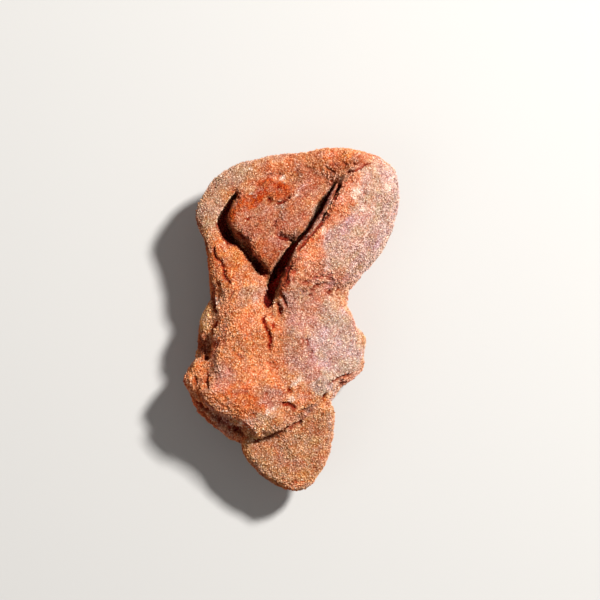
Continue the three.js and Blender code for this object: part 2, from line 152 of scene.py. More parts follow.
# Stripes of colour along a path: half width, strength, colour, path.
STRIPES = [
    # The dark red stripes are painted shade in grooves and at the end of the large gap.
    (1.2, 0.95, PAINTED_SHADE_RED, [(-3.9, 6.8), (-4.2, 5), (-4.4, 3.8), (-4.6, 2.2)]),
    (1.3, 0.85, PAINTED_SHADE_RED, [(0.8, 12.4), (-0.5, 10.6), (-1.2, 9), (-1.5, 7.4), (-1.7, 5.6)]),
    (0.4, 0.8, PAINTED_SHADE_RED, [(9.9, 27.4), (9.2, 25.8), (8.8, 24.6), (8.5, 23.2)]),
    (0.35, 0.7, PAINTED_SHADE_RED, [(6.9, 21.8), (6.4, 20.6), (5.9, 19.2), (5.2, 18), (4, 16.6), (2.6, 15.2)]),
    # Partly painted shade: deeper orange on the shaded edge of the petal beside the large gap.
    (0.8, 0.5, DEEP_ORANGE, [(9.4, 23.4), (8, 21.2), (7, 19), (5.4, 17), (3.8, 15), (2.6, 13)]),
    # Partly a painted highlight: the pale stripe along the ridge brightens its lit edge.
    (0.3, 0.9, PALE_PINK, [(9, 27.2), *RIDGE]),
    (0.3, 0.6, PALE_PINK, [(0.2, 25.3), (1.2, 25.9), (2.4, 27), (4, 27.8)]),
    (0.5, 0.5, PALE_GREY, [(20.4, 19.6), (19, 15.4), (17, 12), (14.6, 9.4)]),
    (0.4, 0.6, PALE_PINK, [
        (-17.5, -16), (-15.5, -17.8), (-13.5, -19), (-11.5, -19.8), (-10, -20.3), (-8.5, -21),
    ]),
    (0.8, 0.6, VALLEY_PINK, [(0.8, -20), (2.6, -18.8), (4, -17.4), (6, -16.4)]),
    # Partly painted shade along the lower part of the upper left lobe.
    (1.1, 0.7, BROWN, [(-17, -3.2), (-17.2, -6), (-16.6, -8.6)]),
    (0.5, 0.5, OCHRE, [(8.3, -19), (8.6, -21.4), (8.2, -23.6), (7.6, -26)]),
]
STRIPE_EDGE = (0.3, 1.2)

# Small blotches all over: size, seed, strength, colour.
BLOTCHES = [
    (2.2, 191, 0.25, DEEP_ORANGE),
    (1.2, 201, 0.3, RUST),
    (1.5, 211, 0.3, MAUVE),
    (1.0, 221, 0.25, PALE_GREY),
    (1.7, 231, 0.2, TAN),
]

# White chips: x, y, radius.
CHIPS = [
    (-5, -18.2, 0.9), (-3.5, -17.7, 0.8), (-9.7, -20.4, 0.7), (12.6, 25.4, 1.3), (14, 21.8, 0.8),
    (19, 26.5, 1), (1.2, 25.1, 0.6), (-8.4, 25.7, 0.5), (-14.2, 4, 0.7), (-6.8, 4.3, 0.8),
    (7, 17.6, 0.8), (1, -12, 1), (-7.6, 29.6, 0.5), (-1.6, 29, 0.5), (-1.4, 22.8, 0.6),
    (0.4, -16, 0.7),
]
CHIP_EDGE = (0.4, 1.2)
CHIP_STRENGTH = 0.8

PALE_CLOUDS = 0.7  # strength of the palest places under the patches
LIGHT_CHANGE = 0.14  # how much lighter or darker the stone gets from place to place
WARM_CHANGE = (0, 0.05, -0.1)  # how much its red, green and blue change from place to place
BLOTCH_WARMTH = (1.6, 4)  # red over blue of the stone where blotches are weakest and strongest
BLOTCHES_ON_PALE = 0.2  # their strength on the palest stone, as a share of the whole

# Noise that makes the edges of the patches and the chips ragged, and those of the stripes: reach, size,
# seed.
PATCH_WANDER = [(0.9, 2.6, 121), (0.45, 1.3, 122), (0.225, 0.65, 123)]
STRIPE_WANDER = [(0.2, 0.9, 125)]

# ---------------------------------------------------------------- relief

WAVE_HEIGHT = 0.15  # of the broad waves of the whole surface
BUMPS = [(0.06, 0.95, 51), (0.07, 0.6, 52)]  # height, size and seed of the small bumps on it

# Painted shade in the open gaps of the solid: colour of the bottom, and path as x, y, width. The walls
# are painted a dark red shade.
GAPS = [
    (GAP_SHADE_RED, [
        (9.2, 27.3, 0.7), (8.2, 25.9, 0.9), (6.7, 23.4, 1.3), (5.8, 21.4, 1.3), (4.5, 19.2, 1),
        (2.8, 16.9, 0.9), (1, 15, 1.2), (-0.6, 13.2, 1.6), (-1.8, 11.2, 1.9), (-3, 9, 2.3),
        (-3.7, 6.8, 2.3), (-4, 4.8, 1.8),
    ]),
    (PAINTED_SHADE_RED, [
        (-10.8, 25.1, 0.8), (-12.2, 23.4, 1.2), (-13.4, 21.2, 1.6), (-13.9, 19.4, 2.4),
        (-13, 17.2, 2.4), (-12.2, 15.8, 1.8), (-10.7, 15, 0.9), (-9.3, 13.8, 0.9), (-8.2, 12, 0.8),
        (-6.7, 10.4, 0.8), (-5.3, 9.2, 0.7),
    ]),
]
GAP_SHADE = (14.5, 18)  # a gap has its bottom's colour under the first height, none over the second
GAP_EDGE = (-0.3, 0.1)  # its colour fades between these distances from its edge

# Cracks and ledges: depth and width of the crack, rise of the ledge on the left of its path, path.
# A ledge with a negative rise is on the right.
CRACKS = [
    (0.65, 0.42, 0.2, [
        (-15.3, 15.2), (-15.4, 13.4), (-14.9, 12.3), (-13.9, 11.7), (-13.5, 10.4), (-13.2, 9.2),
        (-12.6, 8), (-11.6, 6.7),
    ]),
    (0.5, 0.45, 0, [(-11.4, 6.4), (-12, 5), (-12.4, 3.6)]),
    (0.6, 0.4, 0, [(-17, 16.2), (-16.8, 14.8), (-16.6, 13.6)]),
    (0.8, 0.7, 0.2, [(-16, 5.4), (-15.7, 3.8), (-15.4, 2.2), (-14.5, 1.2)]),
    (0.6, 0.45, 0, [(-15.1, 0.6), (-15.1, -0.6), (-15.7, -1.7), (-16, -2.5)]),
    (0.4, 0.4, 0, [(-17.7, -4), (-17.5, -5.4), (-17, -7), (-16.7, -8.8)]),
    (0.7, 0.5, 0, [(-14.5, -3.8), (-14.8, -5), (-15.1, -6)]),
    (0.4, 0.3, 0, [(-15.6, -3.6), (-15.2, -4.6), (-15.4, -5.8)]),
    (0.8, 0.6, 0.2, [(-3.6, 3.7), (-2.7, 3.4), (-2.1, 2.6), (-2, 1.8), (-2.6, 0.3)]),
    (0.6, 0.5, 0, [(-2.6, 6.6), (-2, 5.6), (-1.6, 4.4), (-1, 3), (-0.4, 2)]),
    (4, 1.5, 0, [(-3.9, 6.8), (-4.2, 5), (-4.4, 3.8), (-4.6, 2.4)]),
    (3.5, 0.9, 0, [(-7.2, 11), (-6, 10), (-5, 9.3), (-4, 8.8), (-2.8, 8)]),
    (0.9, 0.55, 0.15, [
        (-5, 1.4), (-5.4, 0.2), (-5, -0.6), (-4.6, -1.8), (-4.2, -2.8), (-4.1, -4), (-4.3, -5.2),
        (-3.9, -6.4),
    ]),
    (0.6, 0.45, 0, [(-3.4, 0.3), (-3.3, -1.2), (-3.1, -2.4)]),
    (0.7, 0.5, 0.3, [(-9.4, 19.6), (-8.9, 20.1), (-8.2, 20.4), (-7.8, 20.8)]),
    (0.6, 0.45, 0, [(-3, 27.4), (-2.6, 26.5), (-2.3, 25.4)]),
    (0.7, 0.5, 0, [(-4.9, 24.9), (-4.2, 24), (-4, 22.8)]),
    (0.7, 0.5, -0.4, [(-3.4, 22.8), (-2, 23.5), (-0.9, 24), (-0.3, 24.6), (0, 25.5)]),
    (0.6, 0.45, 0.4, [(-10.6, 17.6), (-9.9, 16.7), (-9, 16.1), (-7.8, 16.2)]),
    (0.6, 0.45, 0.15, [(-8.7, 14.8), (-7.6, 13), (-6.6, 11.3), (-5.2, 9.7)]),
    (0.9, 0.45, 0.3, [(-2.7, 17.6), (-2.1, 16.6), (-1, 16.2), (0.2, 15.8), (1.2, 15.6), (2, 15.9)]),
    (0.5, 0.45, 0, [(-2.9, 20.6), (-3.3, 19.2), (-2.9, 17.8)]),
    (0.6, 0.45, -0.5, [(10, 27.6), (9.3, 26), (8.9, 24.8), (8.6, 23.2)]),
    (0.55, 0.4, -0.5, [
        (7.4, 22.2), (6.7, 21.2), (6.2, 20), (5.8, 18.9), (5, 17.8), (4, 16.7), (3, 15.7),
        (2, 14.4), (1.2, 13),
    ]),
    (1, 0.7, 0, [(0.2, 11.6), (-0.5, 10.2), (-1, 8.8), (-1.1, 7.2)]),
    (0.6, 0.45, 0, [(0.3, 8.6), (-0.5, 7.4), (-0.6, 6.2)]),
    (0.5, 0.4, 0, [(6.4, 31), (7.2, 30.2), (8.2, 29.6), (9.2, 28.6)]),
    (0.45, 0.35, 0, [(8.6, 31.6), (9.8, 31.5), (11, 31.2), (12.2, 31.3)]),
    (0.3, 0.35, 0, [(2.4, 30.6), (4.2, 30.2), (5.4, 29.8)]),
    (0.7, 0.4, 0, [(10.4, 29.2), (11.4, 29.2), (12.6, 29.4), (13.8, 30.2), (15.2, 31.1), (16.2, 31.4)]),
    (0.3, 0.35, 0, [(-12.4, 25.6), (-11, 25.9), (-10, 25.6)]),
    (0.6, 0.5, 0, [(2.4, -3.7), (3.4, -3.9), (4.6, -4.3)]),
    (0.5, 0.4, 0, [(3, -4.2), (3.6, -4.8), (4.4, -4.7)]),
    (0.35, 0.35, 0.15, [(3.2, -5.9), (4.3, -6.2), (5.1, -6.9)]),
    (0.4, 0.35, 0, [(5.4, -8.8), (5.7, -9.8), (5.8, -10.8)]),
    (0.6, 0.45, 0.2, [(-0.8, -12.6), (-0.3, -13.8), (0.5, -14.9)]),
    (0.8, 0.5, -0.3, [(-2.4, -16.7), (-1.2, -16.6), (-0.2, -16.7), (0.6, -17.3), (1.1, -18.4)]),
    (0.9, 0.5, 0.35, [
        (-8, -24.3), (-6.6, -24.1), (-5.4, -23.4), (-4, -22.8), (-2.4, -22.2), (-0.8, -21.5),
        (0.6, -20.8), (1.8, -20.3),
    ]),
    (0.2, 0.4, 0.15, [(1.4, -20.2), (2.2, -19.5), (3.2, -18.6), (4.6, -17.3), (6.2, -16.5)]),
    (0.35, 0.35, 0, [(1.4, -19), (2.4, -18), (3.6, -17.4)]),
    (0.5, 0.4, 0.2, [(6.8, -12.6), (8.2, -12.4), (9.6, -11.6), (11.6, -10.9), (13.4, -9.9)]),
    (0.4, 0.4, 0, [(8.6, -13.5), (10.4, -12.8), (12, -12.2)]),
    (1, 0.5, 0, [(6.2, -16.4), (6.6, -15.8), (6.8, -15), (7.6, -14.3)]),
    (0.9, 0.4, 0, [(7, -16.2), (7.8, -16.3), (8.8, -16.4)]),
    (0.5, 0.4, 0, [(-16.9, -9.4), (-16.6, -11), (-16.7, -12.6), (-16.4, -14.2)]),
    (0.4, 0.35, 0, [(-19.2, -10.6), (-18.8, -12.4), (-19, -13.6)]),
    (0.4, 0.4, 0.15, [(-8, -18), (-7.2, -18.6), (-6.2, -18.7)]),
    (0.4, 0.5, 0.2, [
        (-20.2, -14.8), (-19, -16.4), (-17.4, -17.9), (-15.6, -19.4), (-13.6, -20.6),
        (-11.4, -21.8), (-9.6, -23), (-8, -24.1),
    ]),
    (0.4, 0.35, 0, [(-5.4, -8), (-4.2, -8.6), (-3, -8.3)]),
    (0.4, 0.35, 0, [(-12.4, -13.6), (-11.2, -14.6), (-9.8, -14.4)]),
    (0.4, 0.35, 0, [(-11.4, -6.2), (-10.2, -7), (-9.6, -8.2)]),
]
CRACK_WANDER = [(0.16, 1, 81), (0.09, 0.45, 82)]  # reach, size and seed, as for the patches
LEDGE_REACH = 1.6  # a ledge slopes down to nothing over this distance from its path
CRACK_HEIGHT = (10.4, 12)  # heights under which there are no cracks, and over which they are whole
CRACK_EDGE = 0.2  # width over which a crack's edge is rounded
SCATTERED_DEPTH = 0.35  # depth of the small pits strewn all over
FULL_HOLLOW = 0.6  # a crack this deep has all of a crack's painted shade
END_TAPER = 1.2  # whatever follows a path fades over this length at its ends

# Swellings and dents: x, y, half width, half length, turn in degrees, rise.
SWELLS = [
    (7.4, 5.8, 5.6, 2.4, 8, -0.9),
    (13, 29, 2.4, 1.6, 20, 0.4),
    (1, -11.6, 3.8, 2.8, 0, 0.45),
    (-3.2, -19.3, 4.4, 2.6, 12, 0.45),
    (-9, -3.5, 5, 5.5, 0, 0.35),
    (-10.5, -15.6, 6.4, 3, -10, 0.35),
    (-14, -19.6, 7.6, 1.2, -33, -0.35),
    (5.3, -5, 1.5, 5.5, 12, -0.45),
    (9.8, -4.5, 4, 6.5, 8, 0.3),
    (-0.6, 20.4, 2.6, 4.4, 20, 0.3),
    (3.6, -3.9, 1.3, 0.8, 0, -0.35),
    (-7.6, 1.5, 3, 1.2, 20, -0.3),
    (-13.4, -2, 1.4, 4, -5, -0.12),
    (-18.6, -12, 2, 2.6, 0, 0.3),
    (-11.6, 19.8, 2, 2.4, 20, 0.3),
    (-5.6, 25.4, 3.8, 2, 30, 0.35),
    (0, 28.6, 8, 0.9, 5, -0.2),
    (8.2, -15, 1.1, 1, 0, 0.3),
]
SWELL_EDGE = (0.1, 1.1)

# Pits: x, y, radius.
PITS = [
    (11.3, 29.4, 0.6), (13, 29.8, 0.35), (14.6, 30.7, 0.35), (1.8, -20.3, 0.5), (3, -3.8, 0.4),
    (-9.3, -7, 0.3), (7.6, 3, 0.3), (-15.9, -2.1, 0.4), (12.2, 31.2, 0.3), (-16.6, -7.6, 0.5),
]
PIT_EDGE = (0.3, 1.2)

# Where the stone is broken and rough: x, y, half width, half length, turn in degrees, roughness.
ROUGH_PLACES = [
    (-14.5, 8, 2.4, 8, 0, 0.15), (-14, -20.4, 8, 1.8, -33, 0.45), (-5, -21.6, 5, 2.4, 15, 0.2),
    (-17.4, -6, 1.6, 5, 0, 0.3), (-18.6, -12, 2.4, 4, 0, 0.2), (10.5, 30.5, 5, 1.8, 0, 0.2),
    (-3, 1.5, 3, 3, 0, 0.2), (2.6, -18.4, 3.6, 1.4, 40, 0.25), (-7.4, 12.6, 1.2, 4, 36, 0.3),
    (-9.6, 16.8, 1.6, 1.4, 0, 0.3), (8, 6.4, 4.6, 3, 0, 0.12),
]
ROUGH_EDGE = (0.6, 1.1)
LEAST_ROUGHNESS = 0.05
SIDE_ROUGHNESS = 0.18  # the most that the sides and the underside have of their own
CRUMB_RISE = 1.6  # height from between the crumbs to their tops, times the roughness
CRUMB_FOOT = -1.1  # height between the crumbs, times the roughness

# Stone lifted to a height, as a thin ridge or as rubble in the bottom of a gap: the height under which
# nothing is lifted, the height that is reached, half width, path.
LIFTS = [
    (6.5, 14.6, 1, [(-10.8, 15.2), (-9.3, 13.8), (-8.2, 12), (-6.7, 10.4), (-5, 9)]),
    (6.5, 14, 1.1, [(-4.4, 2.6), (-4.1, 4.6), (-3.7, 6.8), (-3, 9.2), (-2.4, 10.6)]),
    (11, 23.7, 0.32, [(9.2, 27.4), *RIDGE]),
]
LIFT_EDGE = (0.6, 1.5)
LIFT_SOFTNESS = 3  # the lift grows from nothing to all of it over this much height
LIFT_UNEVENNESS = 0.3  # the height that is reached goes up and down by this much

# Bands of small deep holes: half width, depth, size of the holes along x and y, path.
BANDS = [
    (0.7, 0.45, (0.6, 0.8), [
        (9.8, 27), (9, 25), (8.4, 23.2), (7.2, 21.4), (6.1, 19.2), (4.8, 17.2), (3.4, 15.4),
        (2.1, 13.6), (1.3, 11.6), (0.6, 9.6), (0.1, 7),
    ]),
    (0.9, 0.4, (0.7, 0.4), [(7, 31.2), (9, 31.2), (12, 30.4), (15, 31)]),
    (0.9, 0.5, (0.6, 0.8), [(-8.6, 15.4), (-7.6, 13.4), (-6.4, 11.4), (-5, 9.4)]),
    (2.4, 0.4, (1.1, 0.4), [(1.4, 6.6), (5, 7.2), (8, 7.6), (11, 7.4)]),
    (1, 0.55, (1.2, 0.4), [(3, 4.6), (6, 5.2), (9, 5.8), (11.4, 5.6)]),
    (1.2, 0.6, (0.7, 0.6), [(-20, -15), (-17, -18.4), (-13, -21), (-9, -23.4)]),
    (0.7, 0.5, (0.6, 0.5), [(-7, -24), (-4, -23), (0, -21.4), (2.4, -19.8)]),
    (0.9, 0.6, (0.6, 0.6), [(1.4, -3.8), (3.6, -4), (5.6, -4.4)]),
    (1, 0.35, (0.5, 0.9), [(-14.6, 8), (-15.4, 4), (-15, 0), (-15.6, -4), (-16.4, -9)]),
    (0.8, 0.4, (1, 0.4), [(7, -13.2), (10, -12), (13.4, -10.2)]),
    (0.8, 0.4, (0.5, 0.8), [(-2.6, 3), (-3.4, 0), (-4.2, -4)]),
    (0.8, 0.25, (0.8, 0.5), [(-6, 28.4), (-2, 28.6), (2, 28.8), (6, 28.8), (8.6, 28.6)]),
]
BAND_EDGE = (0.4, 1.2)

# ---------------------------------------------------------------- noise


def lattice(i, j, k, seed):
    """A repeatable random number from -1 to 1 for each corner of a unit grid."""
    h = (i * 73856093) ^ (j * 19349663) ^ (k * 83492791) ^ (seed * 668265263)
    h = ((h ^ (h >> 13)) * 1274126177) & 0xFFFFFFFF
    h = ((h ^ (h >> 15)) * 374761393) & 0xFFFFFFFF
    return (h ^ (h >> 16)) / 2**31 - 1


def noise(points, size, seed):
    """Smooth noise from -1 to 1 with features about size across."""
    q = points / size
    cell = np.floor(q).astype(np.int64)
    t = q - cell
    t = t * t * t * (t * (t * 6 - 15) + 10)
    total = np.zeros(len(points))
    for corner in itertools.product((0, 1), repeat=3):
        weight = np.prod(np.where(corner, t, 1 - t), axis=1)
        total += weight * lattice(*(cell + corner).T, seed)
    return total


def fractal(points, size, seed, octaves=3):
    """Noise with finer and weaker noise on it."""
    return sum(noise(points, size / 2**n, seed + n) / 2**n for n in range(octaves))


def pebbles(points, size, seed):
    """0 between rounded pebbles about size across, rising to 1 on top of each."""
    q = points / size
    cell = np.floor(q).astype(np.int64)
    nearest = np.full(len(points), np.inf)
    for step in itertools.product((-1, 0, 1), repeat=3):
        home = cell + step
        jitter = np.stack([lattice(*home.T, seed + axis) for axis in range(3)], axis=1)
        centre = home + 0.5 + 0.45 * jitter
        nearest = np.minimum(nearest, np.linalg.norm(q - centre, axis=1))
    return np.clip(1 - nearest, 0, 1)


def fade(value, start, end):
    """0 before start, 1 after end, and smooth between them."""
    t = np.clip((value - start) / (end - start), 0, 1)
    return t * t * (3 - 2 * t)


# ---------------------------------------------------------------- places in plan


def near_path(x, y, path):
    """How each point lies to a path: distance, that distance with a sign that is positive on the
    left, a weight that falls to 0 at both ends, and the nearest place as a count of steps."""
    steps = [math.dist(start, end) for start, end in zip(path, path[1:])]
    nearest = np.full(len(x), np.inf)
    sided = np.zeros(len(x))
    along, step = np.zeros(len(x)), np.zeros(len(x))
    for n, ((ax, ay), (bx, by)) in enumerate(zip(path, path[1:])):
        ex, ey = bx - ax, by - ay
        share = np.clip(((x - ax) * ex + (y - ay) * ey) / (ex * ex + ey * ey), 0, 1)
        dx, dy = x - ax - share * ex, y - ay - share * ey
        distance = np.hypot(dx, dy)
        closer = distance < nearest
        nearest = np.where(closer, distance, nearest)
        sided = np.where(closer, distance * np.sign(ex * dy - ey * dx), sided)
        along = np.where(closer, sum(steps[:n]) + share * steps[n], along)
        step = np.where(closer, n + share, step)
    whole = sum(steps)
    taper = fade(np.minimum(along, whole - along), 0, min(END_TAPER, whole / 2))
    return nearest, sided, taper, step


def on_path(x, y, path, half_width, edge):
    """1 along a path, and fading to 0 at its ends and between two shares of its half width."""
    near, _, taper, _ = near_path(x, y, path)
    return (1 - fade(near, edge[0] * half_width, edge[1] * half_width)) * taper


def on_oval(x, y, oval, edge):
    """1 inside an oval, and fading to 0 between two shares of its half sizes. The oval is given as
    x, y, half width, half length and turn in degrees."""
    centre_x, centre_y, half_width, half_length, turn = oval
    c, s = math.cos(math.radians(turn)), math.sin(math.radians(turn))
    dx, dy = x - centre_x, y - centre_y
    radius = np.hypot((dx * c + dy * s) / half_width, (dy * c - dx * s) / half_length)
    return 1 - fade(radius, *edge)


def on_disc(x, y, middle, radius, edge):
    """The same for a disc."""
    return on_oval(x, y, (*middle, radius, radius, 0), edge)


def wandered(points, waves):
    """The plan positions of the points, moved to and fro by noise with those reaches, sizes and
    seeds, so that what is laid out on them gets ragged edges. The noise along y has seeds of its
    own."""
    x, y, _ = points.T
    for reach, size, seed in waves:
        x = x + reach * noise(points, size, seed)
        y = y + reach * noise(points, size, seed + 10)
    return x, y


# ---------------------------------------------------------------- the shape of the stone


def vectors(collection, key, count):
    """A mesh property of three numbers an item, as an array."""
    values = np.empty(count * 3, dtype=np.float32)
    collection.foreach_get(key, values)
    return values.reshape(-1, 3).astype(float)


def add_object(name, data):
    """A new object in the scene, with that mesh, lamp or camera."""
    added = bpy.data.objects.new(name, data)
    bpy.context.scene.collection.objects.link(added)
    return added


def fine_copy(node):
    """A mesh of even small faces on the solid's surface, with its flat facets smoothed away."""
    work = add_object("work", node.data.copy())
    voxels = work.modifiers.new("voxels", "REMESH")
    voxels.mode = "VOXEL"
    voxels.voxel_size = VOXEL * MM
    smooth = work.modifiers.new("smooth", "SMOOTH")
    smooth.factor = 0.5
    smooth.iterations = SMOOTHING_STEPS
    evaluated = work.evaluated_get(bpy.context.evaluated_depsgraph_get())
    mesh = bpy.data.meshes.new_from_object(evaluated)
    bpy.data.meshes.remove(work.data)  # and the work object with it
    return mesh


def upper(normals, level=0, width=0.35):
    """1 where the surface faces up, 0 where its normal's z is under that level."""
    return fade(normals[:, 2], level, level + width)


def unevenness(points, seen):
    """The height of the swellings, crumbs and small bumps of the stone at each point."""
    x, y, _ = points.T
    height = WAVE_HEIGHT * fractal(points, size=3.2, seed=11) - STONE_INSET
    for *oval, rise in SWELLS:
        height += rise * on_oval(x, y, oval, SWELL_EDGE) * seen
    rough = np.full(len(x), LEAST_ROUGHNESS)
    for *oval, roughness in ROUGH_PLACES:
        rough = np.maximum(rough, roughness * on_oval(x, y, oval, ROUGH_EDGE))
    elsewhere = (1 - seen) * SIDE_ROUGHNESS * fade(noise(points, size=6, seed=21), -0.2, 0.5)
    rough = np.maximum(rough, elsewhere)
    crumbs = pebbles(points, size=1.4, seed=31) * CRUMB_RISE + CRUMB_FOOT
    height += rough * (crumbs + fractal(points, size=1.1, seed=41))
    height += sum(bump * noise(points, size, seed) for bump, size, seed in BUMPS)
    return height


def cracks_and_ledges(points, seen):
    """How deep each point lies in a crack, hole or pit, and how far a ledge raises it."""
    x, y, z = points.T
    deep = seen * fade(z, *CRACK_HEIGHT)
    wandering = wandered(points, CRACK_WANDER)
    depth, ledges = np.zeros(len(x)), np.zeros(len(x))
    for crack_depth, width, rise, path in CRACKS:
        near, sided, taper, _ = near_path(*wandering, path)
        inside = 1 - fade(near, width * taper / 4, width * taper / 2 + CRACK_EDGE)
        depth = np.maximum(depth, crack_depth * inside * taper * deep)
        on_ledge = np.clip(sided * np.sign(rise), 0, None)
        ledge = np.where(on_ledge > 0, 1 - fade(on_ledge, CRACK_EDGE, LEDGE_REACH), 0)
        ledges += abs(rise) * ledge * taper * seen
    for half_width, band_depth, (long, high), path in BANDS:
        holes = fade(noise(points / (long, high, 1), size=1, seed=71), 0.05, 0.5)
        band = on_path(x, y, path, half_width, BAND_EDGE) * deep
        depth = np.maximum(depth, band_depth * band * holes)
    for *middle, radius in PITS:
        pit = on_disc(*wandering, middle, radius, PIT_EDGE)
        depth = np.maximum(depth, radius * pit * seen)
    scattered = fade(pebbles(points, size=2.2, seed=101), 0.74, 0.95)
    scattered *= fade(noise(points, size=4, seed=111), -0.2, 0.4)
    depth = np.maximum(depth, SCATTERED_DEPTH * scattered)
    return depth, ledges


def lift(points):
    """How far each point is lifted by a ridge or by rubble."""
    x, y, z = points.T
    lifted = np.zeros(len(x))
    uneven = LIFT_UNEVENNESS * noise(points, size=0.9, seed=61)
    for foot, top, half_width, path in LIFTS:
        weight = on_path(x, y, path, half_width, LIFT_EDGE)
        rise = np.clip(top + uneven - z, 0, None)
        lifted = np.maximum(lifted, weight * rise * fade(z, foot, foot + LIFT_SOFTNESS))
    return lifted


# ---------------------------------------------------------------- the colour of the stone


def mixed(colour, other, share):
    """A colour with that share of another in its place."""
    return colour * (1 - share) + np.array(other) * share


def clouded(points):
    """Broad clouds of tan, orange and pale pink, which the patches are laid on."""
    orange = noise(points, size=9, seed=141) + 0.4 * noise(points, size=3, seed=151)
    colour = mixed(np.array(TAN), ORANGE, fade(orange, -0.5, 0.5)[:, None])
    pale = noise(points, size=7, seed=161) + 0.4 * noise(points, size=2.5, seed=171)
    return mixed(colour, PALE_PINK, fade(pale, 0.15, 0.8)[:, None] * PALE_CLOUDS)


def marked(points, colour, seen):
    """That colour with the patches, stripes, blotches and chips on it."""
    wandering, ragged = wandered(points, PATCH_WANDER), wandered(points, STRIPE_WANDER)
    for *oval, tint in PATCHES:
        colour = mixed(colour, tint, on_oval(*wandering, oval, PATCH_EDGE)[:, None] * seen)
    for half_width, strength, tint, path in STRIPES:
        weight = on_path(*ragged, path, half_width, STRIPE_EDGE) * strength
        colour = mixed(colour, tint, weight[:, None] * seen)
    light = fractal(points, size=1.8, seed=181)[:, None]
    warm = fractal(points, size=2.2, seed=185)[:, None]
    colour = colour * (1 + LIGHT_CHANGE * light) * (1 + warm * WARM_CHANGE)
    for size, seed, strength, tint in BLOTCHES:
        warmth = fade(colour[:, :1] / colour[:, 2:], *BLOTCH_WARMTH)
        there = fade(noise(points, size, seed), 0.1, 0.6)[:, None] * strength
        colour = mixed(colour, tint, there * (warmth * (1 - BLOTCHES_ON_PALE) + BLOTCHES_ON_PALE))
    for *middle, radius in CHIPS:
        weight = on_disc(*wandering, middle, radius, CHIP_EDGE)
        colour = mixed(colour, WHITE, weight[:, None] * seen * CHIP_STRENGTH)
    return colour


def gaps_painted_shade(points, normals, colour):
    """That colour with painted shade in the gaps: dark red on the walls, and the bottom's colour low
    down.
    """
    x, y, z = points.T
    low = ((1 - fade(z, *GAP_SHADE)) * upper(normals))[:, None]
    for bottom, gap in GAPS:
        near, _, _, step = near_path(x, y, [place[:2] for place in gap])
        half = np.interp(step, range(len(gap)), [place[2] / 2 for place in gap])
        inside = (1 - fade(near, half + GAP_EDGE[0], half + GAP_EDGE[1]))[:, None]
        colour = mixed(colour, mixed(np.array(PAINTED_SHADE_RED), bottom, low), inside)
    return colour


def stone_colours(points, normals, hollow):
    """The stone's colour at each point, with painted shade in the gaps, deep in the cracks and on the
    sides turned away from the key lamp.
    """
    marked_there = upper(normals, MARKS_LEVEL)[:, None]
    colour = gaps_painted_shade(points, normals, marked(points, clouded(points), marked_there))
    # Painted shade: a deeper red on the sides turned away from the key lamp.
    turned_away = fade(-normals @ PAINTED_SHADE_AWAY_FROM, *PAINTED_SHADE_RANGE)[:, None]
    colour = np.clip(colour, 0, 1) ** (1 + PAINTED_SHADE_POWER * turned_away)
    # Painted shade deep in the cracks.
    return colour * (1 + PAINTED_SHADE_GAIN * turned_away) * (1 - hollow[:, None] * HOLLOW_PAINTED_SHADE)


def set_colours(mesh, colours, gloss):
    """Stores a colour at each vertex, with how glossy it is from 0 to 1 as its alpha."""
    attribute = mesh.color_attributes.new("tint", "FLOAT_COLOR", "POINT")
    values = np.column_stack([np.clip(colours, 0, 1), gloss]).astype(np.float32)
    attribute.data.foreach_set("color", values.ravel())


def make_stone(material):
    """The stone, with the colour and the hollowness from 0 to 1 at each of its vertices."""
    mesh = fine_copy(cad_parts[NODE])
    mesh.name = "stone"
    points = vectors(mesh.vertices, "co", len(mesh.vertices)) / MM
    normals = vectors(mesh.vertex_normals, "vector", len(mesh.vertices))
    seen = upper(normals)
    depth, ledges = cracks_and_ledges(points, seen)
    height = unevenness(points, seen) + ledges - depth
    hollow = np.clip(depth / FULL_HOLLOW, 0, 1)
    colours = stone_colours(points, normals, hollow)
    points += normals * height[:, None]
    points[:, 2] = np.maximum(points[:, 2] + lift(points), 0)
    mesh.vertices.foreach_set("co", (points * MM).astype(np.float32).ravel())
    mesh.update()
    set_colours(mesh, colours, np.zeros(len(points)))
    mesh.shade_smooth()
    mesh.materials.clear()
    mesh.materials.append(material)
    return add_object("stone", mesh), colours, hollow


# ---------------------------------------------------------------- the sand

GRAIN_CORNERS = np.array(
    [(1, 0, 0), (-1, 0, 0), (0, 1, 0), (0, -1, 0), (0, 0, 1), (0, 0, -1)], dtype=float
)
BOTTOM_CORNER = 5
GRAIN_FACES = np.array(
    [
        (0, 2, 4), (2, 1, 4), (1, 3, 4), (3, 0, 4),
        (2, 0, 5), (1, 2, 5), (3, 1, 5), (0, 3, 5),
    ]
)
GRAIN_BEND = 0.3  # each corner is moved by up to this share of the grain's half length
GRAIN_STRETCH = (0.7, 1.25)  # least and most stretch along each axis
GRAIN_STANDS_OUT = 0.35  # height of its middle over the stone, as a share of its half length
SQUARE_FILLED = 0.9  # share of its square in the UV map that a grain takes up, along each side

UNDERSIDE_SAND = 0.6  # sand on faces that look down, as a share of that on the others
CRACK_SAND_LOSS = 0.9  # share of the sand that is missing deep in a crack

# Kinds of grain: share, colour mixed in, how much of it, and gloss.
GRAIN_KINDS = [
    (0.75, (1.0, 1.0, 1.0), 0.0, 0.0),
    (0.08, (0.86, 0.48, 0.22), 0.4, 0.15),
    (0.11, (0.24, 0.03, 0.01), 0.6, 0.0),
    (0.05, (0.58, 0.14, 0.04), 0.5, 0.05),
    (0.01, (0.92, 0.76, 0.56), 0.7, 0.7),
]

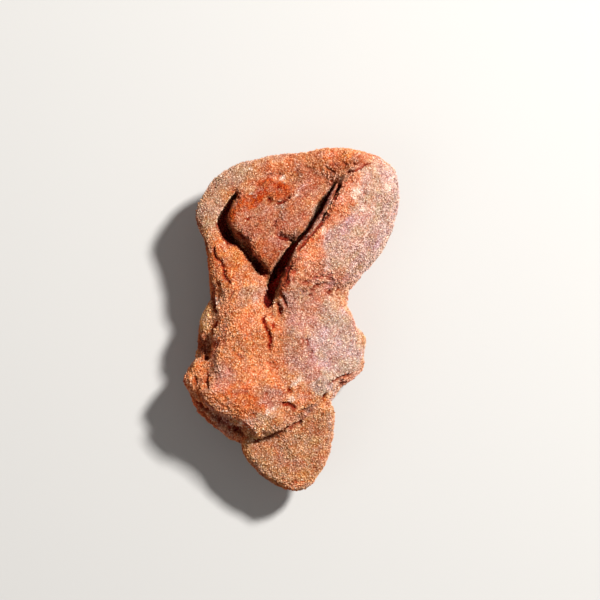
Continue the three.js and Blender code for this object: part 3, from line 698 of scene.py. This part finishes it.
# Each grain's colour is raised to a random power, which makes it darker and redder, or paler. The
# power's logarithm has this middle and spread, and the power stays within these limits.
GRAIN_POWER = (-0.07, 0.33)
GRAIN_POWER_LIMITS = (0.4, 2.4)
GRAIN_TONE = (1.13, 1.245, 1.31)  # the red, green and blue of grains, times those of the stone
PALE_GRAIN_STAIN = (0, 0.42, 0.62)  # loss of red, green and blue for each 1 of power under 1
# Grains stand out less from the stone where its colour, summed with these weights, is under 1.
GRAIN_LIGHT = (0.6, 2.4, 1)


def turned(random, count):
    """Random rotations, as matrices."""
    q = random.normal(size=(count, 4))
    a, b, c, d = (q / np.linalg.norm(q, axis=1)[:, None]).T
    return np.array(
        [
            [1 - 2 * (c * c + d * d), 2 * (b * c - a * d), 2 * (b * d + a * c)],
            [2 * (b * c + a * d), 1 - 2 * (b * b + d * d), 2 * (c * d - a * b)],
            [2 * (b * d - a * c), 2 * (c * d + a * b), 1 - 2 * (b * b + c * c)],
        ]
    ).transpose(2, 0, 1)


def places_on(mesh, colours, hollow, random, count):
    """Random places on the stone outside its cracks, with the outward direction and the stone's
    colour there."""
    mesh.calc_loop_triangles()
    total = len(mesh.loop_triangles)
    corners = np.empty(total * 3, dtype=np.int32)
    mesh.loop_triangles.foreach_get("vertices", corners)
    corners = corners.reshape(-1, 3)
    spots = vectors(mesh.vertices, "co", len(mesh.vertices)) / MM
    a, b, c = (spots[corners[:, n]] for n in range(3))
    cross = np.cross(b - a, c - a)
    area = np.linalg.norm(cross, axis=1) / 2
    area[a[:, 2] < FLOOR_CLEARANCE] = 0
    wanted = area * np.where(cross[:, 2] > 0, 1, UNDERSIDE_SAND)
    wanted *= 1 - CRACK_SAND_LOSS * hollow[corners].max(axis=1)
    chosen = random.choice(total, size=count, p=wanted / wanted.sum())
    u, v = random.random((2, count, 1))
    flip = u + v > 1
    u, v = np.where(flip, 1 - u, u), np.where(flip, 1 - v, v)
    place = a[chosen] + u * (b - a)[chosen] + v * (c - a)[chosen]
    outward = cross[chosen] / (2 * area[chosen, None])
    return place, outward, colours[corners[chosen, 0]]


def grain_shapes(place, outward, random):
    """The corners of a grain at each place, each bent, stretched and turned in its own way."""
    count = len(place)
    middle, spread = GRAIN_SIZE
    size = np.clip(random.normal(middle, spread, count), middle - 2 * spread, middle + 3 * spread)
    stretch = random.uniform(*GRAIN_STRETCH, (count, 1, 3))
    bent = GRAIN_CORNERS + random.uniform(-GRAIN_BEND, GRAIN_BEND, (count, len(GRAIN_CORNERS), 3))
    shape = bent * stretch * size[:, None, None]
    centre = place + outward * size[:, None] * GRAIN_STANDS_OUT
    return np.einsum("nij,nvj->nvi", turned(random, count), shape) + centre[:, None, :]


def grain_looks(under, random):
    """The colour and the gloss of each grain, from the colour of the stone under it."""
    count = len(under)
    shares, tints, amounts, glosses = (np.array(column) for column in zip(*GRAIN_KINDS))
    kind = random.choice(len(GRAIN_KINDS), size=count, p=shares)
    amount = amounts[kind][:, None]
    # The stone's colour under a grain carries its painted shade, and where it is dark little of a kind's
    # own colour is mixed in.
    light = np.clip(under @ GRAIN_LIGHT, 0, 1)[:, None] ** 2
    colour = under * (1 - amount) + tints[kind] * amount * light
    power = np.clip(random.lognormal(*GRAIN_POWER, (count, 1)), *GRAIN_POWER_LIMITS)
    colour = np.clip(colour, 0.001, 1) ** (1 + (power - 1) * light) * GRAIN_TONE
    colour *= 1 - np.clip(1 - power, 0, None) * PALE_GRAIN_STAIN
    return colour, glosses[kind]


def give_each_a_square(mesh, count):
    """Unfolds each grain onto a small square of its own in the UV map that a bake uses."""
    unfolded = GRAIN_CORNERS[GRAIN_FACES][:, :, :2] / 2
    lower = GRAIN_FACES[:, 2] == BOTTOM_CORNER
    unfolded[lower, 2] = unfolded[lower, :2].sum(axis=1)
    side = math.ceil(math.sqrt(count))
    square = np.stack(np.divmod(np.arange(count), side), axis=1) + 0.5
    spread = (square[:, None, None] + SQUARE_FILLED * unfolded) / side
    layer = mesh.uv_layers.new(name="OFBake")
    layer.data.foreach_set("uv", spread.astype(np.float32).ravel())


def make_sand(name, stone, stone_colour, hollow, material, seed):
    """One piece of sand: a mesh of loose grains, each an octahedron."""
    random = np.random.default_rng(seed)
    count = GRAINS_PER_PIECE
    place, outward, under = places_on(stone.data, stone_colour, hollow, random, count)
    corners = grain_shapes(place, outward, random)
    colour, gloss = grain_looks(under, random)
    each = len(GRAIN_CORNERS)
    faces = (GRAIN_FACES[None] + each * np.arange(count)[:, None, None]).reshape(-1, 3)

    mesh = bpy.data.meshes.new(name)
    mesh.vertices.add(count * each)
    mesh.vertices.foreach_set("co", (corners * MM).astype(np.float32).ravel())
    mesh.loops.add(faces.size)
    mesh.loops.foreach_set("vertex_index", faces.astype(np.int32).ravel())
    mesh.polygons.add(len(faces))
    mesh.polygons.foreach_set("loop_start", np.arange(0, faces.size, 3, dtype=np.int32))
    mesh.update(calc_edges=True)
    mesh.shade_flat()
    give_each_a_square(mesh, count)
    set_colours(mesh, np.repeat(colour, each, axis=0), np.repeat(gloss, each))
    mesh.materials.append(material)
    return add_object(name, mesh)


# ---------------------------------------------------------------- materials


def new_material(name):
    """A material with its nodes and its Principled shader."""
    material = bpy.data.materials.new(name)
    material.use_nodes = True
    tree = material.node_tree
    return material, tree, tree.nodes["Principled BSDF"]


def texture(tree, kind, size):
    """A texture node with features of that size in mm."""
    place = tree.nodes.new("ShaderNodeTexCoord")
    node = tree.nodes.new(kind)
    node.inputs["Scale"].default_value = 1 / (size * MM)
    tree.links.new(place.outputs["Object"], node.inputs["Vector"])
    return node


def ranged(tree, value, low, high, value_low=0, value_high=1):
    """A grey that goes from low to high while the value goes over its own range."""
    spread = tree.nodes.new("ShaderNodeMapRange")
    spread.inputs["From Min"].default_value = value_low
    spread.inputs["From Max"].default_value = value_high
    spread.inputs["To Min"].default_value = low
    spread.inputs["To Max"].default_value = high
    tree.links.new(value, spread.inputs["Value"])
    return spread.outputs["Result"]


def cloud(tree, size, low, high):
    """A grey that changes smoothly from low to high over that size in mm."""
    node = texture(tree, "ShaderNodeTexNoise", size)
    node.inputs["Detail"].default_value = 4
    return ranged(tree, node.outputs["Fac"], low, high, 0.3, 0.7)


def times(tree, colour, factor):
    """A colour times a grey."""
    scale = tree.nodes.new("ShaderNodeVectorMath")
    scale.operation = "SCALE"
    tree.links.new(colour, scale.inputs[0])
    tree.links.new(factor, scale.inputs["Scale"])
    return scale.outputs["Vector"]


def bumped(tree, height, depth, strength):
    """A bump of that depth in mm."""
    bump = tree.nodes.new("ShaderNodeBump")
    bump.inputs["Distance"].default_value = depth * MM
    bump.inputs["Strength"].default_value = strength
    tree.links.new(height, bump.inputs["Height"])
    return bump.outputs["Normal"]


def deepened(tree, colour, power):
    """A colour raised to a power: above 1 it is darker and redder, below 1 paler."""
    gamma = tree.nodes.new("ShaderNodeGamma")
    tree.links.new(colour, gamma.inputs["Color"])
    tree.links.new(power, gamma.inputs["Gamma"])
    return gamma.outputs["Color"]


def vertex_tint(tree):
    """The node with the colour and the gloss that set_colours stores."""
    attribute = tree.nodes.new("ShaderNodeAttribute")
    attribute.attribute_name = "tint"
    return attribute


def stone_material():
    material, tree, shader = new_material("sandy stone")
    cells = texture(tree, "ShaderNodeTexVoronoi", size=0.22)
    power = ranged(tree, cells.outputs["Color"], low=0.75, high=2.2)
    colour = deepened(tree, vertex_tint(tree).outputs["Color"], power)
    colour = times(tree, colour, cloud(tree, size=0.5, low=0.6, high=1.05))
    rough = cloud(tree, size=0.6, low=0.75, high=1.0)
    normal = bumped(tree, cells.outputs["Distance"], depth=-0.12, strength=0.8)
    tree.links.new(colour, shader.inputs["Base Color"])
    tree.links.new(rough, shader.inputs["Roughness"])
    tree.links.new(normal, shader.inputs["Normal"])
    shader.inputs["Specular IOR Level"].default_value = 0.1
    return material


def sand_material():
    material, tree, shader = new_material("sand grains")
    attribute = vertex_tint(tree)
    colour = times(tree, attribute.outputs["Color"], cloud(tree, size=0.12, low=0.75, high=1.2))
    rough = ranged(tree, attribute.outputs["Alpha"], low=0.95, high=0.22)
    normal = bumped(tree, cloud(tree, size=0.08, low=0, high=1), depth=0.02, strength=0.5)
    tree.links.new(colour, shader.inputs["Base Color"])
    tree.links.new(rough, shader.inputs["Roughness"])
    tree.links.new(normal, shader.inputs["Normal"])
    shader.inputs["Specular IOR Level"].default_value = 0.25
    return material


def floor_material():
    material, _, shader = new_material("pale floor")
    shader.inputs["Base Color"].default_value = (0.52, 0.515, 0.505, 1)
    shader.inputs["Roughness"].default_value = 0.9
    return material


# ---------------------------------------------------------------- the object

stone, stone_colour, stone_hollow = make_stone(stone_material())
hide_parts(NODE)
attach(stone, "root")

grain_material = sand_material()
for number in range(SAND_PIECES):
    name, seed = f"sand_{number + 1}", FIRST_SEED + number
    sand = make_sand(name, stone, stone_colour, stone_hollow, grain_material, seed)
    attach(sand, "root")

# ---------------------------------------------------------------- floor, light and camera

FLOOR_SIZE = 3.0  # metres
CAMERA_HEIGHT = 0.6  # metres
LOOKED_AT = 15  # height where the picture is PICTURE_WIDTH wide
PICTURE_WIDTH = 120
PICTURE_MIDDLE = (1.8, 4.0)
SENSOR = 36  # the width of the camera's film


def make_floor():
    bpy.ops.mesh.primitive_plane_add(size=FLOOR_SIZE)
    floor = bpy.context.object
    floor.name = "floor"
    floor.data.materials.append(floor_material())


def area_light(name, direction, distance, size, power, colour):
    """A square lamp that shines on the object from that direction, with its distance and size in
    metres."""
    data = bpy.data.lights.new(name, "AREA")
    data.size = size
    data.energy = power
    data.color = colour
    lamp = add_object(name, data)
    away = Vector(direction).normalized()
    lamp.location = away * distance + Vector((0, 0, LOOKED_AT * MM))
    lamp.rotation_euler = away.to_track_quat("Z", "Y").to_euler()


def make_lights():
    area_light("key", (0.47, 0.4, 0.79), distance=0.7, size=0.08, power=9.1, colour=(1, 0.98, 0.95))
    area_light("fill", (-0.5, -0.3, 0.9), distance=0.9, size=0.6, power=0.8, colour=(0.98, 0.99, 1))
    world = bpy.data.worlds.new("studio")
    bpy.context.scene.world = world
    world.use_nodes = True
    background = world.node_tree.nodes["Background"]
    background.inputs["Color"].default_value = (1, 0.95, 0.91, 1)
    background.inputs["Strength"].default_value = 0.2


def make_camera():
    data = bpy.data.cameras.new("camera")
    data.sensor_width = SENSOR
    data.lens = SENSOR * (CAMERA_HEIGHT / MM - LOOKED_AT) / PICTURE_WIDTH
    camera = add_object("camera", data)
    camera.location = (PICTURE_MIDDLE[0] * MM, PICTURE_MIDDLE[1] * MM, CAMERA_HEIGHT)
    bpy.context.scene.camera = camera


make_floor()
make_lights()
make_camera()
bpy.context.scene.view_settings.view_transform = "Standard"
